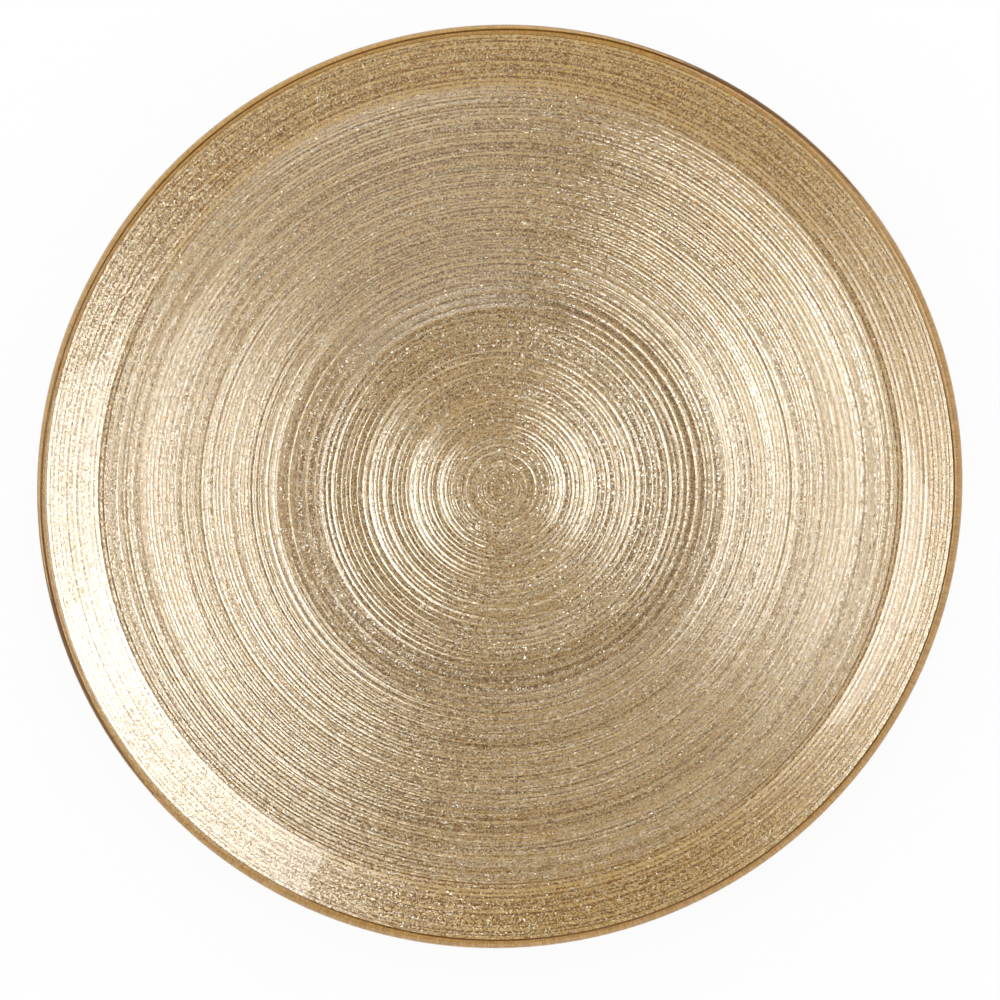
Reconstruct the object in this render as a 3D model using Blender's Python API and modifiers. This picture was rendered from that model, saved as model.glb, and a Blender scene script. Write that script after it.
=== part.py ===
"""Glass dinner plate, decorated from behind with gold glitter lacquer.

The plate is three turned layers on one axis. The pressed glass body is the clear dish that food
lies on. The gold lacquer is sprayed on its underside and is seen through the glass. The back coat
seals the lacquer and is the face that stands on the table.

Units are metres and +Z is up. The origin is the middle of the base, on the table.
"""

import math

import bpy
from mathutils import Matrix, Vector

# Driving dimensions of the dish, measured on its upper face
PLATE_DIAMETER = 0.280
WELL_RADIUS = 0.0545  # where the flat well meets its wall
SHOULDER_RADIUS = 0.0665  # where the wall meets the broad slope
LIP_RADIUS = 0.1210  # where the broad slope meets the raised lip
WALL_ANGLE = math.radians(8.0)
SLOPE_ANGLE = math.radians(7.0)
LIP_ANGLE = math.radians(15.8)

# Rounding of the upper face at the three bends, in the same order
WELL_ROUND = 0.020
SHOULDER_ROUND = 0.030
LIP_ROUND = 0.025

# Layers, from the top down, with the seam that keeps two neighbours apart
GLASS_THICKNESS = 0.0040
LACQUER_THICKNESS = 0.0003
BACK_COAT_THICKNESS = 0.0004
SEAM = 0.0003
COAT_WRAP = math.radians(20.0)  # how far both coats go round the underside of the rim

# Fineness of the turned surfaces
TURN_STEPS = 64
BEND_SEGMENTS = 3
RIM_SEGMENTS = 8
WRAP_SEGMENTS = 2

LACQUER_TOP = GLASS_THICKNESS + SEAM
BACK_COAT_TOP = LACQUER_TOP + LACQUER_THICKNESS + SEAM
STACK = BACK_COAT_TOP + BACK_COAT_THICKNESS
RIM_ROUND = GLASS_THICKNESS / 2
RIM_CENTRE_RADIUS = PLATE_DIAMETER / 2 - RIM_ROUND


def heading(angle):
    """Unit vector in the (radius, height) plane that climbs outwards at this angle."""
    return Vector((math.cos(angle), math.sin(angle)))


def below(angle):
    """Unit vector square to that heading, on the table's side of the face."""
    return Vector((math.sin(angle), -math.cos(angle)))


# One climb for each straight stretch of the upper face, from the middle to the rim
CLIMBS = (0.0, WALL_ANGLE, SLOPE_ANGLE, LIP_ANGLE)
# A positive rounding is hollow seen from above, and a negative one is crowned
ROUNDS = (WELL_ROUND, -SHOULDER_ROUND, LIP_ROUND)


def upper_corners():
    """Corners of the upper face before rounding: the middle, the three bends and the rim."""
    lip_end = RIM_CENTRE_RADIUS - RIM_ROUND * math.sin(LIP_ANGLE)
    radii = (WELL_RADIUS, SHOULDER_RADIUS, LIP_RADIUS, lip_end)
    corners = [Vector((0.0, STACK))]
    for radius, climb in zip(radii, CLIMBS):
        last = corners[-1]
        corners.append(Vector((radius, last.y + math.tan(climb) * (radius - last.x))))
    return corners


def corners_at(depth):
    """The same corners on the face that lies this deep below the upper one, all along it."""
    corners = upper_corners()
    moved = [corners[0] + depth * below(CLIMBS[0])]
    for corner, inner, outer in zip(corners[1:-1], CLIMBS, CLIMBS[1:]):
        share = below(inner) + below(outer)
        moved.append(corner + share * (depth / (1 + below(inner).dot(below(outer)))))
    moved.append(corners[-1] + depth * below(CLIMBS[-1]))
    return moved


def arc(centre, start, turn, segments):
    """Points of an arc about centre, from start, turning by this angle, both ends included."""
    spoke = start - centre
    return [centre + Matrix.Rotation(turn * i / segments, 2) @ spoke for i in range(segments + 1)]


def face_at(depth):
    """The face that lies this deep, from the middle to the rim, with its bends rounded."""
    corners = corners_at(depth)
    points = [corners[0]]
    for corner, inner, outer, rounding in zip(corners[1:-1], CLIMBS, CLIMBS[1:], ROUNDS):
        radius = rounding + depth
        turn = outer - inner
        start = corner - heading(inner) * abs(radius * math.tan(turn / 2))
        points += arc(start - below(inner) * radius, start, turn, BEND_SEGMENTS)
    points.append(corners[-1])
    return points


def rim_centre():
    """Middle of the round rim."""
    return corners_at(RIM_ROUND)[-1]


def glass_profile():
    """Half section of the glass: upper face, full round rim and underside."""
    upper = face_at(0.0)
    under = face_at(GLASS_THICKNESS)
    rim = arc(rim_centre(), upper[-1], -math.pi, RIM_SEGMENTS)
    return upper[:-1] + rim + under[-2::-1]


def coat_profile(top, thickness):
    """Half section of a coat on the underside, which ends part of the way round the rim."""
    upper = face_at(top)
    under = face_at(top + thickness)
    upper_wrap = arc(rim_centre(), upper[-1], COAT_WRAP, WRAP_SEGMENTS)
    under_wrap = arc(rim_centre(), under[-1], COAT_WRAP, WRAP_SEGMENTS)
    return upper[:-1] + upper_wrap + under_wrap[::-1] + under[-2::-1]


def finish(name, colour, roughness, metallic, transmission=0.0):
    """A material with one Principled shader."""
    material = bpy.data.materials.new(name)
    material.use_nodes = True
    shader = material.node_tree.nodes["Principled BSDF"]
    shader.inputs["Base Color"].default_value = (*colour, 1.0)
    shader.inputs["Roughness"].default_value = roughness
    shader.inputs["Metallic"].default_value = metallic
    shader.inputs["Transmission Weight"].default_value = transmission
    return material


def turned(name, profile, material, collection, axis):
    """A solid turned about the plate's axis from a half section that runs from the top down."""
    mesh = bpy.data.meshes.new(name)
    edges = [(i, i + 1) for i in range(len(profile) - 1)]
    mesh.from_pydata([(p.x, 0.0, p.y) for p in profile], edges, [])
    mesh.materials.append(material)
    layer = bpy.data.objects.new(name, mesh)
    collection.objects.link(layer)
    layer.parent = axis
    screw = layer.modifiers.new("turn", "SCREW")
    screw.axis = "Z"
    screw.angle = math.tau
    screw.steps = TURN_STEPS
    screw.render_steps = TURN_STEPS
    screw.use_merge_vertices = True
    screw.merge_threshold = 0.00001
    screw.use_smooth_shade = True
    return layer


def main():
    for leftover in list(bpy.data.objects):
        bpy.data.objects.remove(leftover)
    collection = bpy.data.collections.new("glass_dinner_plate")
    bpy.context.scene.collection.children.link(collection)
    axis = bpy.data.objects.new("plate_axis", None)
    collection.objects.link(axis)

    clear_glass = finish("clear_glass", (0.97, 0.98, 0.96), 0.03, 0.0, transmission=1.0)
    gold_glitter = finish("gold_glitter", (0.66, 0.50, 0.30), 0.35, 1.0)
    satin_gold = finish("satin_gold", (0.52, 0.40, 0.25), 0.50, 0.6)

    lacquer = coat_profile(LACQUER_TOP, LACQUER_THICKNESS)
    back_coat = coat_profile(BACK_COAT_TOP, BACK_COAT_THICKNESS)
    turned("glass_body", glass_profile(), clear_glass, collection, axis)
    turned("gold_lacquer", lacquer, gold_glitter, collection, axis)
    turned("back_coat", back_coat, satin_gold, collection, axis)


main()
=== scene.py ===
"""Looks of the glass dinner plate: clear pressed glass over gold glitter lacquer in turned rings.

The three pieces are turned about the plate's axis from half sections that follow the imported
solids. The underside of the glass carries the fine rings, the lacquer fills them, and the back
coat shows them softly from below. Units are metres.
"""

import bisect
import math
import random
from typing import NamedTuple

import bmesh
import bpy
import numpy as np
from mathutils import Matrix, Vector


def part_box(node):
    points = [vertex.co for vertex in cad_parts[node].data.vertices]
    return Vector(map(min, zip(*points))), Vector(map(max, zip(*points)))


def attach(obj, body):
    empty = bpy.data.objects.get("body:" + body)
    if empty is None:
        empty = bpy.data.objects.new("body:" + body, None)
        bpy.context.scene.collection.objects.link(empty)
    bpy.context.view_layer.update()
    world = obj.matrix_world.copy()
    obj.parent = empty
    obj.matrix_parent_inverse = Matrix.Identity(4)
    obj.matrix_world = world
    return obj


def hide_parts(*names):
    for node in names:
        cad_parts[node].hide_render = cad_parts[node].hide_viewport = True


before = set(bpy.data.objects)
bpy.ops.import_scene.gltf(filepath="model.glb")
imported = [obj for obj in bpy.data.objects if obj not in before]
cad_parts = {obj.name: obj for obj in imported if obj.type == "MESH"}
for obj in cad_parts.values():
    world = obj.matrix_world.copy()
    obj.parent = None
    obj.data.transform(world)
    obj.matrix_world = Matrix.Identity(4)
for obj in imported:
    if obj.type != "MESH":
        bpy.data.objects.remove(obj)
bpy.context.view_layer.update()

# Section of the dish, as in the solids
PLATE_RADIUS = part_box("glass_body")[1].x
WELL_RADIUS = 0.0545
SHOULDER_RADIUS = 0.0665
LIP_RADIUS = 0.1210
WALL_ANGLE = math.radians(8.0)
SLOPE_ANGLE = math.radians(7.0)
LIP_ANGLE = math.radians(15.8)
WELL_ROUND = 0.020
SHOULDER_ROUND = 0.030
LIP_ROUND = 0.025

# Depths below the upper face, with the seams of the solids closed
GLASS_DEPTH = 0.0043
LACQUER_DEPTH = 0.00475
STACK = 0.0053
FILM_OVERLAP = 0.00002  # how far the lacquer keys into the glass
FILM_EDGE = 0.00010  # what is left of each film where it thins out on the rim
LACQUER_WRAP = math.radians(20.0)
BACK_COAT_WRAP = math.radians(14.0)

RIM_ROUND = GLASS_DEPTH / 2
RIM_CENTRE_RADIUS = PLATE_RADIUS - RIM_ROUND
# One climb for each straight stretch of the upper face, from the middle to the rim
CLIMBS = (0.0, WALL_ANGLE, SLOPE_ANGLE, LIP_ANGLE)
# A positive rounding is hollow seen from above, and a negative one is crowned
ROUNDS = (WELL_ROUND, -SHOULDER_ROUND, LIP_ROUND)

# Fineness of the turned surfaces
TURN_STEPS = 180
BEND_SEGMENTS = 12
RIM_SEGMENTS = 60
WRAP_SEGMENTS = 8
SHARP_EDGE = math.radians(3.2)  # facets that meet at more than this show a crisp edge
MERGE_DISTANCE = 1e-7
MAP_FILL = 0.99  # how much of its disc in the UV map a face fills


class Groove(NamedTuple):
    """A kind of groove, by the least and greatest lean of its facets in degrees."""

    outward: tuple  # the inner facet, which faces the rim
    gentle: tuple  # the outer facet, which faces the middle
    steep: tuple = (0.0, 0.0)  # a steeper one between them, where the kind has it
    steep_share: float = 0.0  # the steep facet's share of the width


class Station(NamedTuple):
    """An edge between two facets, with the tone and the flakes of the facet outside it."""

    radius: float
    drop: float
    tone: float
    flakes: float


class Zone(NamedTuple):
    """A stretch of the underside with rings of one kind."""

    reach: float  # outer radius
    groove: float  # usual width of a groove
    land: float  # usual width of the flat land beside it
    kind: Groove
    tone: float  # usual tone, from dark to light
    spread: float  # how far the tones of the facets spread
    flakes: float  # share of the usual flakes that the lacquer has here

    def station(self, draw, radius, drop, low, high):
        """A station whose facet has a tone between these shares of the spread."""
        return Station(radius, drop, self.tone + self.spread * draw.uniform(low, high), self.flakes)


CENTRE = Groove((1.0, 6.5), (2.0, 6.5))
PLAIN = Groove((2.5, 10.5), (7.0, 11.0))
NARROW = Groove((9.5, 14.5), (8.0, 10.5))
SHOULDER = Groove((7.0, 13.5), (9.0, 11.5))
BROAD = Groove((6.5, 12.5), (2.5, 7.5), steep=(9.5, 11.0), steep_share=0.25)
SHALLOW = Groove((1.0, 3.5), (0.5, 2.0))

# Zones from the middle to the lip
RING_ZONES = (
    Zone(0.0155, 0.00070, 0.00020, CENTRE, tone=0.58, spread=0.40, flakes=1.0),
    Zone(0.0240, 0.00064, 0.00046, PLAIN, tone=0.58, spread=0.40, flakes=1.0),
    Zone(0.0390, 0.00088, 0.00040, PLAIN, tone=0.58, spread=0.40, flakes=1.0),
    Zone(0.0530, 0.00095, 0.00064, PLAIN, tone=0.58, spread=0.40, flakes=1.0),
    # The next two zones, from the edge of the well to the shoulder, are given a darker usual tone:
    # painted shade on the well's wall.
    Zone(0.0605, 0.00115, 0.00090, NARROW, tone=0.38, spread=0.60, flakes=1.0),
    Zone(0.0665, 0.00100, 0.00028, SHOULDER, tone=0.34, spread=0.50, flakes=1.0),
    Zone(0.1200, 0.00105, 0.00005, BROAD, tone=0.40, spread=0.50, flakes=0.98),
    Zone(0.1365, 0.00112, 0.00012, SHALLOW, tone=0.24, spread=0.75, flakes=0.78),
)
# Beyond them, two dark lines with a paler one after each run round the edge; the dark lines are
# painted shade, for the dark edge line that the glass rim shows. The rim bends the view, so one
# pair shows on the near side of the plate and the other on the far side.
PAINTED_RIM_SHADE_TONE = -2.0  # tone at which the lacquer is the brown of these lines
PAINTED_RIM_LINES = (
    Station(0.13760, 0.0, PAINTED_RIM_SHADE_TONE, 0.0),
    Station(0.13775, 0.0, 0.30, 0.12),
    Station(0.13835, 0.0, PAINTED_RIM_SHADE_TONE, 0.0),
    Station(0.13849, 0.0, 0.45, 0.12),
)
RIM_LINE_END = 0.00004  # how near the end of its face a ring may still be turned
MIDDLE = Station(0.0, 0.0, 0.5, 1.0)
RING_START = 0.0006
RING_SPREAD = 0.25
LAND_SPREAD = (0.4, 1.6)
LEAST_LAND = 0.00008
RING_SEED = 11
BACK_RELIEF = 0.45  # share of the rings' depth that shows through the back coat
BACK_LIFT = 0.000099  # how far its face is lifted, so that the rings stay off the table

# Glitter lacquer: a cell for each flake, binder and flakes from dark to light
FLAKES_PER_METRE = 2900.0
SETTLED_TILT = 0.035
LOOSE_TILT = 0.30
# The same power picks the few flakes whose binder carries the painted glint.
LOOSE_RARITY = 5.0  # power that leaves few of the flakes loose
GRAIN_SPREAD = 1.5
RING_CONTRAST = 1.2
DARK_GOLD = (0.32, 0.138, 0.025)
LIGHT_GOLD = (1.0, 0.63, 0.19)
# Painted shade: the flat brown of the dark lines at the rim.
PAINTED_RIM_SHADE_BROWN = (0.20, 0.09, 0.02)
# Painted glint: the binder of the rare loose flakes turns this pale gold.
PAINTED_GLINT = (1.0, 0.84, 0.48)
WARM_FLAKE = (0.82, 0.66, 0.46)
WHITE_FLAKE = (1.0, 0.99, 0.96)
# As the tone rises with the painted light on the facets, the flakes there turn white too: a painted
# highlight.
FLAKE_WHITENING = 3.0  # how soon flakes turn from warm to white as the tone rises

# Back coat, from dark to light
DARK_SATIN = (0.33, 0.23, 0.12)
LIGHT_SATIN = (0.53, 0.40, 0.23)

# Photograph's frame: pixels across it, and the plate's outline in it
FRAME_PIXELS = 1000
OUTLINE_CENTRE = (496.7, 482.6)
OUTLINE_RADIUS = 465.1
VIEW_TILT = math.radians(8.6)
VIEW_SIDE = math.radians(-50.0)
VIEW_DISTANCE = 2.0
SENSOR_MM = 36.0

# Table top, and the room around it
TABLE_RADIUS = 4.0
TABLE_PAINT = (0.8, 0.8, 0.8)
TABLE_GLOW = 0.92  # how far the table top is plain white to the eye
WALL_EDGE = (0.62, 0.38)  # sines of the elevations where the walls begin and are full
WALL_WHITE = 1.0  # the walls as glass and metal mirror them
WALL_EXTRA = 3.45  # what they add on matt surfaces
CEILING = 0.15
CEILING_FALL = 0.5  # how much darker it gets towards the far side, and lighter on the near side
CEILING_LEAST = 0.03
PANEL_LEAN = math.radians(7.0)  # off the vertical, towards the near side
PANEL_EDGE = (0.988, 0.998)  # cosines off its axis where the panel begins and is full
PANEL_STRENGTH = 1.4

# Softboxes: side and lean off the vertical in degrees, width, height and radiance
SOFTBOX_DISTANCE = 1.1
SOFTBOXES = {
    "right_softbox": (16.0, 20.0, 0.52, 0.25, 3.0),
    "back_softbox": (60.0, 29.0, 0.40, 0.45, 2.8),
    "left_softbox": (167.0, 34.0, 0.68, 0.25, 3.1),
}


def heading(angle):
    """Unit vector in the (radius, height) plane that climbs outwards at this angle."""
    return Vector((math.cos(angle), math.sin(angle)))


def below(angle):
    """Unit vector square to that heading, on the table's side of the face."""
    return Vector((math.sin(angle), -math.cos(angle)))


def corners_at(depth):
    """Corners of the face that lies this deep: the middle, the three bends and the rim."""
    lip_end = RIM_CENTRE_RADIUS - RIM_ROUND * math.sin(LIP_ANGLE)
    corners = [Vector((0.0, STACK))]
    for radius, climb in zip((WELL_RADIUS, SHOULDER_RADIUS, LIP_RADIUS, lip_end), CLIMBS):
        last = corners[-1]
        corners.append(Vector((radius, last.y + math.tan(climb) * (radius - last.x))))
    moved = [corners[0] + depth * below(CLIMBS[0])]
    for corner, inner, outer in zip(corners[1:-1], CLIMBS, CLIMBS[1:]):
        share = below(inner) + below(outer)
        moved.append(corner + share * (depth / (1 + below(inner).dot(below(outer)))))
    moved.append(corners[-1] + depth * below(CLIMBS[-1]))
    return moved


def arc(centre, start, turn, segments):
    """Points of an arc about centre, from start, turning by this angle, both ends included."""
    spoke = start - centre
    return [centre + Matrix.Rotation(turn * i / segments, 2) @ spoke for i in range(segments + 1)]


def face_at(depth):
    """The face that lies this deep, from the middle to the rim, with its bends rounded."""
    corners = corners_at(depth)
    points = [corners[0]]
    for corner, inner, outer, rounding in zip(corners[1:-1], CLIMBS, CLIMBS[1:], ROUNDS):
        radius = rounding + depth
        turn = outer - inner
        start = corner - heading(inner) * abs(radius * math.tan(turn / 2))
        points += arc(start - below(inner) * radius, start, turn, BEND_SEGMENTS)
    points.append(corners[-1])
    return points


def height_on(face, radius):
    """Height of a face at this radius."""
    return float(np.interp(radius, [p.x for p in face], [p.y for p in face]))


def rim_centre():
    """Middle of the round rim."""
    return corners_at(RIM_ROUND)[-1]


def ring_stations():
    """Edges between the facets of all the rings, from the middle to the rim."""
    stations = [MIDDLE]
    radius = RING_START
    for number, zone in enumerate(RING_ZONES):
        draw = random.Random(RING_SEED + number)
        kind = zone.kind
        while radius < zone.reach:
            width = zone.groove * math.exp(draw.gauss(0.0, RING_SPREAD))
            land = zone.land * draw.uniform(*LAND_SPREAD)
            leans = [draw.uniform(*lean) for lean in (kind.outward, kind.steep, kind.gentle)]
            fall, kick, rise = (math.tan(math.radians(lean)) for lean in leans)
            kick_width = kind.steep_share * width
            fall_width = (kick_width * kick + (width - kick_width) * rise) / (fall + rise)
            drop = fall_width * fall
            trough = radius + fall_width
            # The facet that falls towards the rim and the land beside it take tones from the dark half
            # of the spread, and the facet after the trough from the light half: painted shade and
            # painted light by the way the facets lean, random within each half.
            stations.append(zone.station(draw, radius, 0.0, -1.0, 0.0))
            stations.append(zone.station(draw, trough, drop, 0.0, 1.0))
            if kick_width:
                left = drop - kick_width * kick
                stations.append(zone.station(draw, trough + kick_width, left, -1.0, 1.0))
            radius += width
            if land > LEAST_LAND:
                stations.append(zone.station(draw, radius, 0.0, -1.0, 0.0))
                radius += land
    last = PAINTED_RIM_LINES[0].radius - LEAST_LAND
    return [station for station in stations if station.radius < last] + list(PAINTED_RIM_LINES)


RINGS = ring_stations()


def ringed(face, relief=1.0):
    """A face with the rings turned into it: each station lies its drop below the face."""
    end = face[-1]
    points = [
        Vector((station.radius, height_on(face, station.radius) - relief * station.drop))
        for station in RINGS
        if station.radius < end.x - RIM_LINE_END
    ]
    return points + [end]


def wrap(face, turn):
    """Arc on which a film goes on round the rim from the end of its face."""
    return arc(rim_centre(), face[-1], turn, WRAP_SEGMENTS)


def thinned(face, depth):
    """A film's outer face, which closes on the face at this depth as it nears the rim."""
    inner = face_at(depth)
    end = face[-1].x
    points = []
    for point in face:
        share = min(max((point.x - LIP_RADIUS) / (end - LIP_RADIUS), 0.0), 1.0)
        gap = point.y - height_on(inner, point.x)
        points.append(Vector((point.x, point.y - gap * share)))
    return points


def film(upper, under, turn):
    """Half section of a film between two faces, which ends part of the way round the rim."""
    return upper[:-1] + wrap(upper, turn) + wrap(under, turn)[::-1] + under[-2::-1]


def spread_map(bm):
    """UV map of two discs on the square's diagonal: the upper faces, and the lower ones."""
    uv = bm.loops.layers.uv.new("OFBake")
    radius = 1 / (2 + math.sqrt(2))
    for face in bm.faces:
        centre = radius if face.normal.z > 0 else 1 - radius
        for loop in face.loops:
            place = loop.vert.co / PLATE_RADIUS * radius * MAP_FILL
            loop[uv].uv = (centre + place.x, centre + place.y)


def tone_rings(bm):
    """Gives each face the tone and the flakes of the ring facet that it lies on."""
    tone = bm.faces.layers.float.new("ring_tone_and_painted_shade")
    flakes = bm.faces.layers.float.new("flake_share")
    edges = [station.radius for station in RINGS]
    for face in bm.faces:
        middle = face.calc_center_median()
        facet = RINGS[bisect.bisect(edges, math.hypot(middle.x, middle.y)) - 1]
        face[tone] = facet.tone
        face[flakes] = facet.flakes


def link_mesh(name, bm):
    """An object with this bmesh, which is used up."""
    mesh = bpy.data.meshes.new(name)
    bm.to_mesh(mesh)
    bm.free()
    piece = bpy.data.objects.new(name, mesh)
    bpy.context.scene.collection.objects.link(piece)
    return piece


def turned(name, profile):
    """A closed piece turned about the plate's axis from a half section, middle to middle."""
    bm = bmesh.new()
    points = [bm.verts.new((p.x, 0.0, p.y)) for p in profile]
    edges = [bm.edges.new(pair) for pair in zip(points, points[1:])]
    bmesh.ops.spin(
        bm,
        geom=points + edges,
        axis=(0, 0, 1),
        cent=(0, 0, 0),
        angle=math.tau,
        steps=TURN_STEPS,
        use_merge=True,
    )
    bmesh.ops.remove_doubles(bm, verts=bm.verts[:], dist=MERGE_DISTANCE)
    bmesh.ops.recalc_face_normals(bm, faces=bm.faces[:])
    spread_map(bm)
    tone_rings(bm)
    piece = link_mesh(name, bm)
    piece.data.shade_smooth()
    piece.data.set_sharp_from_angle(angle=SHARP_EDGE)
    return piece


class Signal:
    """A shader socket in Python arithmetic: each operation on it adds a Math node."""

    def __init__(self, finish, socket):
        self.finish = finish
        self.socket = socket

    def __add__(self, other):
        return self.finish.maths("ADD", self, other)

    def __sub__(self, other):
        return self.finish.maths("SUBTRACT", self, other)

    def __rsub__(self, other):
        return self.finish.maths("SUBTRACT", other, self)

    def __mul__(self, other):
        return self.finish.maths("MULTIPLY", self, other)

    __radd__ = __add__
    __rmul__ = __mul__


class Finish:
    """A material, or the world, under construction."""

    def __init__(self, owner):
        owner.use_nodes = True
        self.owner = owner
        self.tree = owner.node_tree
        self.tree.nodes.clear()

    def add(self, kind, settings=None, sockets=None):
        """Adds a node, sets it up, feeds its sockets and returns its outputs by name."""
        node = self.tree.nodes.new(kind)
        for key, value in (settings or {}).items():
            setattr(node, key, value)
        for key, value in (sockets or {}).items():
            self.feed(node.inputs[key], value)
        return {out.name: Signal(self, out) for out in node.outputs if out.enabled}

    def feed(self, socket, value):
        """Links a signal to a socket, or sets a plain number, vector or colour on it."""
        if isinstance(value, Signal):
            self.tree.links.new(value.socket, socket)
        elif socket.type == "RGBA":
            socket.default_value = (*value, 1.0)
        else:
            socket.default_value = value

    def maths(self, operation, *values):
        """Result of a Math node."""
        return self.add("ShaderNodeMath", {"operation": operation}, dict(enumerate(values)))["Value"]

    def vector(self, operation, sockets):
        """Result of a Vector Math node."""
        return self.add("ShaderNodeVectorMath", {"operation": operation}, sockets)["Vector"]

    def mix(self, factor, low, high):
        """Mix of two colours."""
        sockets = {"Factor": factor, 6: low, 7: high}
        return self.add("ShaderNodeMix", {"data_type": "RGBA"}, sockets)["Result"]

    def ramp(self, value, limits):
        """Smooth step from 0 at the first limit to 1 at the second."""
        settings = {"interpolation_type": "SMOOTHSTEP"}
        sockets = {"Value": value, "From Min": limits[0], "From Max": limits[1]}
        return self.add("ShaderNodeMapRange", settings, sockets)["Result"]

    def attribute(self, name):
        """Attribute of the piece's own mesh."""
        return self.add("ShaderNodeAttribute", {"attribute_name": name})["Fac"]

    def place(self):
        """Object coordinates of the piece."""
        return self.add("ShaderNodeTexCoord")["Object"]

    def principled(self, sockets):
        """Principled shader."""
        return self.add("ShaderNodeBsdfPrincipled", None, sockets)["BSDF"]

    def blend(self, factor, first, second):
        """Mix of two shaders."""
        return self.add("ShaderNodeMixShader", None, {"Fac": factor, 1: first, 2: second})["Shader"]

    def surface(self, shader):
        """Puts a shader on the output and returns the finished material."""
        self.add("ShaderNodeOutputMaterial", None, {"Surface": shader})
        return self.owner


def gold_glitter():
    """Glitter lacquer: champagne metal flakes, each at its own angle, in a golden brown binder."""
    finish = Finish(bpy.data.materials.new("gold_glitter"))
    cells = {"Vector": finish.place(), "Scale": FLAKES_PER_METRE}
    flakes = finish.add("ShaderNodeTexVoronoi", {"feature": "F1"}, cells)
    chance = finish.add("ShaderNodeSeparateColor", None, {"Color": flakes["Color"]})
    loose_and_glint = finish.maths("POWER", chance["Blue"], LOOSE_RARITY)
    centred = finish.vector("SUBTRACT", {0: flakes["Color"], 1: (0.5, 0.5, 0.5)})
    tilt = finish.vector("SCALE", {0: centred, "Scale": SETTLED_TILT + LOOSE_TILT * loose_and_glint})
    normal = finish.add("ShaderNodeNewGeometry")["Normal"]
    leaning = finish.vector("ADD", {0: normal, 1: tilt})

    # The rings' tones hold painted shade and painted light by the way the facets lean, and the painted
    # shade of the dark lines at the rim.
    ring = finish.attribute("ring_tone_and_painted_shade")
    share = finish.attribute("flake_share")
    grain = finish.maths("MINIMUM", 1.5 * share, 1.0)
    tone = grain * (GRAIN_SPREAD * (chance["Red"] - 0.5)) + RING_CONTRAST * ring
    gold = finish.mix(tone, DARK_GOLD, LIGHT_GOLD)
    # Painted shade: the dark lines at the rim turn the lacquer flat brown.
    painted_rim_shade = -1.0 - ring
    body = finish.mix(painted_rim_shade, gold, PAINTED_RIM_SHADE_BROWN)
    binder = finish.principled(
        {
            # Painted glint: the binder of the loose flakes is mixed towards pale gold.
            "Base Color": finish.mix(grain * loose_and_glint, body, PAINTED_GLINT),
            "Roughness": 0.5,
            "Specular IOR Level": 0.0,
        }
    )
    flake = finish.principled(
        {
            "Base Color": finish.mix(FLAKE_WHITENING * tone, WARM_FLAKE, WHITE_FLAKE),
            "Metallic": 1.0,
            "Roughness": 0.13 + 0.05 * chance["Green"],
            "Normal": finish.vector("NORMALIZE", {0: leaning}),
        }
    )
    cover = share * (0.38 + 0.08 * chance["Green"])
    return finish.surface(finish.blend(cover, binder, flake))


def clear_glass():
    """Fire-polished glass with a faint waviness."""
    finish = Finish(bpy.data.materials.new("clear_glass"))
    waves = {"Vector": finish.place(), "Scale": 60.0, "Detail": 2.0}
    wave = finish.add("ShaderNodeTexNoise", None, waves)["Fac"]
    swell = finish.add("ShaderNodeBump", None, {"Strength": 0.05, "Distance": 0.001, "Height": wave})
    return finish.surface(
        finish.principled(
            {
                "Base Color": (0.97, 0.985, 0.965),
                "Roughness": 0.0,
                "IOR": 1.52,
                "Transmission Weight": 1.0,
                "Normal": swell["Normal"],
            }
        )
    )


def satin_gold():
    """Sealing coat on the back: cloudy satin lacquer with a fine grain and the tones of the rings."""
    finish = Finish(bpy.data.materials.new("satin_gold"))
    place = finish.place()
    clouds = {"Vector": place, "Scale": 45.0, "Detail": 4.0}
    cloud = finish.add("ShaderNodeTexNoise", None, clouds)["Fac"]
    grain = finish.add("ShaderNodeTexNoise", None, {"Vector": place, "Scale": 2200.0})["Fac"]
    # The tones of the rings bring their painted shade and painted light onto the back coat.
    shade = 0.5 * cloud + 0.6 * finish.attribute("ring_tone_and_painted_shade")
    rough = finish.add("ShaderNodeBump", None, {"Strength": 0.25, "Distance": 0.0001, "Height": grain})
    return finish.surface(
        finish.principled(
            {
                "Base Color": finish.mix(shade, DARK_SATIN, LIGHT_SATIN),
                "Metallic": 0.6,
                "Roughness": 0.38 + 0.2 * cloud,
                "Normal": rough["Normal"],
            }
        )
    )


def table_white():
    """Pale paint that is white to the eye, and in glass and metal, but still takes a shadow."""
    finish = Finish(bpy.data.materials.new("table_white"))
    path = finish.add("ShaderNodeLightPath")
    seen = finish.maths("MAXIMUM", path["Is Camera Ray"], path["Is Glossy Ray"])
    seen = finish.maths("MAXIMUM", seen, path["Is Transmission Ray"])
    paint = finish.add("ShaderNodeBsdfDiffuse", None, {"Color": TABLE_PAINT})["BSDF"]
    glow = finish.add("ShaderNodeEmission")["Emission"]
    return finish.surface(finish.blend(TABLE_GLOW * seen, paint, glow))


def dress(piece, material, node):
    """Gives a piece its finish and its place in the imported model."""
    piece.data.materials.append(material)
    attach(piece, "root")
    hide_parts(node)


def make_glass():
    """The pressed dish: smooth above, full round rim, rings below."""
    upper = face_at(0.0)
    rim = arc(rim_centre(), upper[-1], -math.pi, RIM_SEGMENTS)
    under = ringed(face_at(GLASS_DEPTH))
    piece = turned("pressed_glass", upper[:-1] + rim + under[-2::-1])
    dress(piece, clear_glass(), "glass_body")


def make_lacquer():
    """The gold film, which fills the rings and thins out round the rim."""
    upper = ringed(face_at(GLASS_DEPTH - FILM_OVERLAP))
    under = thinned(face_at(LACQUER_DEPTH), GLASS_DEPTH + FILM_EDGE)
    piece = turned("glitter_lacquer", film(upper, under, LACQUER_WRAP))
    dress(piece, gold_glitter(), "gold_lacquer")


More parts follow.
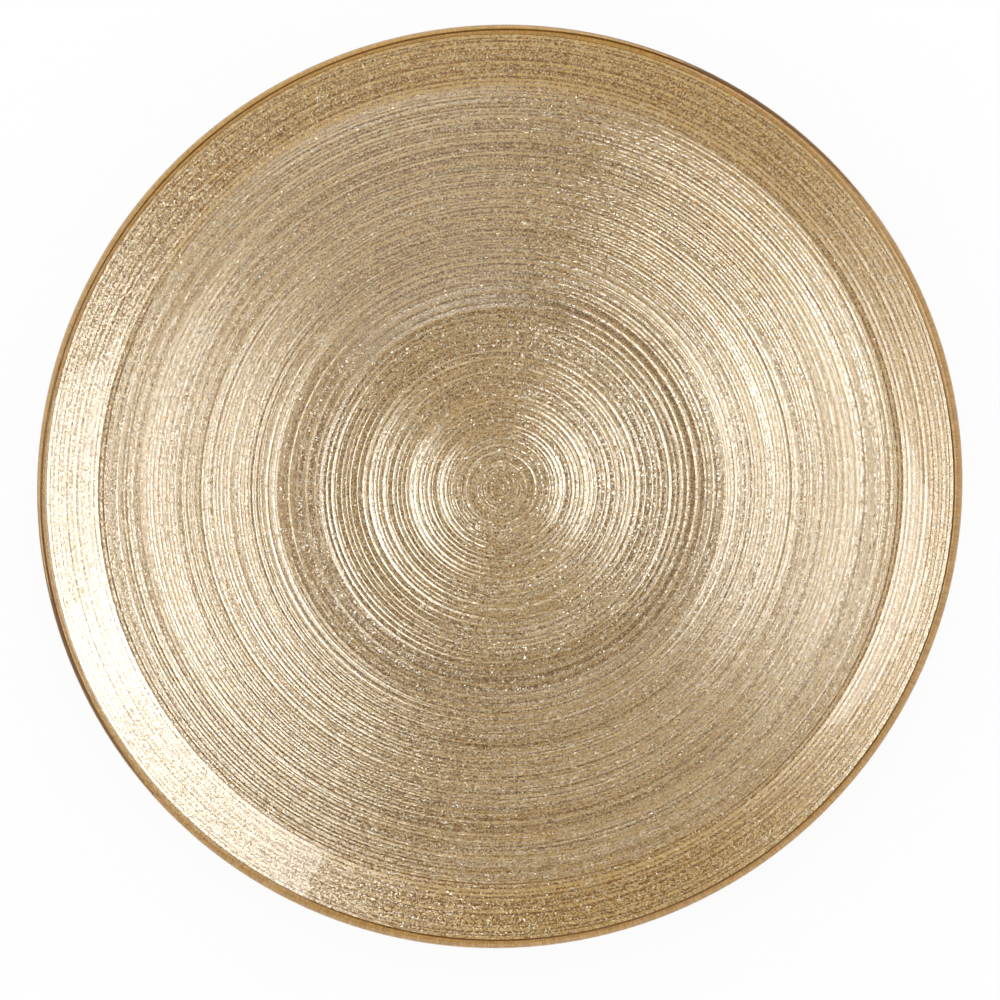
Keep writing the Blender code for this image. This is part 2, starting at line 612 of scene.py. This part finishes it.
def make_back_coat():
    """The sealing coat, on which the rings show softly."""
    upper = thinned(face_at(LACQUER_DEPTH - FILM_OVERLAP), GLASS_DEPTH + FILM_EDGE - FILM_OVERLAP)
    smooth = thinned(face_at(STACK - BACK_LIFT), GLASS_DEPTH + 2 * FILM_EDGE)
    under = ringed(smooth, BACK_RELIEF)
    piece = turned("sealing_coat", film(upper, under, BACK_COAT_WRAP))
    dress(piece, satin_gold(), "back_coat")


def make_floor():
    """A round table top."""
    bm = bmesh.new()
    bmesh.ops.create_circle(bm, cap_ends=True, segments=96, radius=TABLE_RADIUS)
    floor = link_mesh("table_top", bm)
    floor.data.materials.append(table_white())


def make_world():
    """A room with white walls, a dark ceiling and a small panel overhead.

    Glass and metal mirror the walls as plain white. Light that a matt surface scatters comes from
    the walls more strongly, which lights the lacquer under the glass.
    """
    world = bpy.data.worlds.new("studio")
    bpy.context.scene.world = world
    finish = Finish(world)
    ray = finish.add("ShaderNodeTexCoord")["Generated"]
    towards = finish.add("ShaderNodeSeparateXYZ", None, {"Vector": ray})
    walls = finish.ramp(towards["Z"], WALL_EDGE)
    off_axis = math.cos(PANEL_LEAN) * towards["Z"] - math.sin(PANEL_LEAN) * towards["Y"]
    panel = finish.ramp(off_axis, PANEL_EDGE)
    far_side = towards["Y"] * towards["Y"] * towards["Y"]
    ceiling = finish.maths("MAXIMUM", CEILING - CEILING_FALL * far_side, CEILING_LEAST)
    scattered = finish.maths("MINIMUM", finish.add("ShaderNodeLightPath")["Diffuse Depth"], 1.0)
    brightness = WALL_WHITE + WALL_EXTRA * scattered
    level = ceiling + brightness * walls + PANEL_STRENGTH * panel
    sky = finish.add("ShaderNodeBackground", None, {"Strength": level})["Background"]
    finish.add("ShaderNodeOutputWorld", None, {"Surface": sky})


def direction(side, lean):
    """Unit vector towards this side, leaning this far off the vertical."""
    reach = math.sin(lean)
    return Vector((reach * math.cos(side), reach * math.sin(side), math.cos(lean)))


def make_softbox(name, side, lean, width, height, radiance):
    """A softbox that faces the plate."""
    lamp = bpy.data.lights.new(name, "AREA")
    lamp.shape = "RECTANGLE"
    lamp.size = width
    lamp.size_y = height
    lamp.energy = radiance * math.pi * width * height
    box = bpy.data.objects.new(name, lamp)
    bpy.context.scene.collection.objects.link(box)
    away = direction(math.radians(side), math.radians(lean))
    box.location = away * SOFTBOX_DISTANCE
    box.rotation_euler = away.to_track_quat("Z", "Y").to_euler()


def make_camera():
    """Camera nearly straight above the plate, with +Y up in the picture."""
    camera_data = bpy.data.cameras.new("camera")
    camera = bpy.data.objects.new("camera", camera_data)
    bpy.context.scene.collection.objects.link(camera)
    bpy.context.scene.camera = camera
    metres_per_pixel = PLATE_RADIUS / OUTLINE_RADIUS
    offset = Vector((OUTLINE_CENTRE[0] - FRAME_PIXELS / 2, FRAME_PIXELS / 2 - OUTLINE_CENTRE[1]))
    aim = Vector((*(-metres_per_pixel * offset), rim_centre().y))
    away = direction(VIEW_SIDE, VIEW_TILT)
    up = (Vector((0, 1, 0)) - away * away.y).normalized()
    turn = Matrix((up.cross(away), up, away)).transposed()
    camera.matrix_world = Matrix.Translation(aim + away * VIEW_DISTANCE) @ turn.to_4x4()
    camera_data.sensor_width = SENSOR_MM
    camera_data.lens = SENSOR_MM * VIEW_DISTANCE / (FRAME_PIXELS * metres_per_pixel)


make_glass()
make_lacquer()
make_back_coat()
make_floor()
make_world()
for box_name, box_values in SOFTBOXES.items():
    make_softbox(box_name, *box_values)
make_camera()
bpy.context.scene.view_settings.view_transform = "Standard"
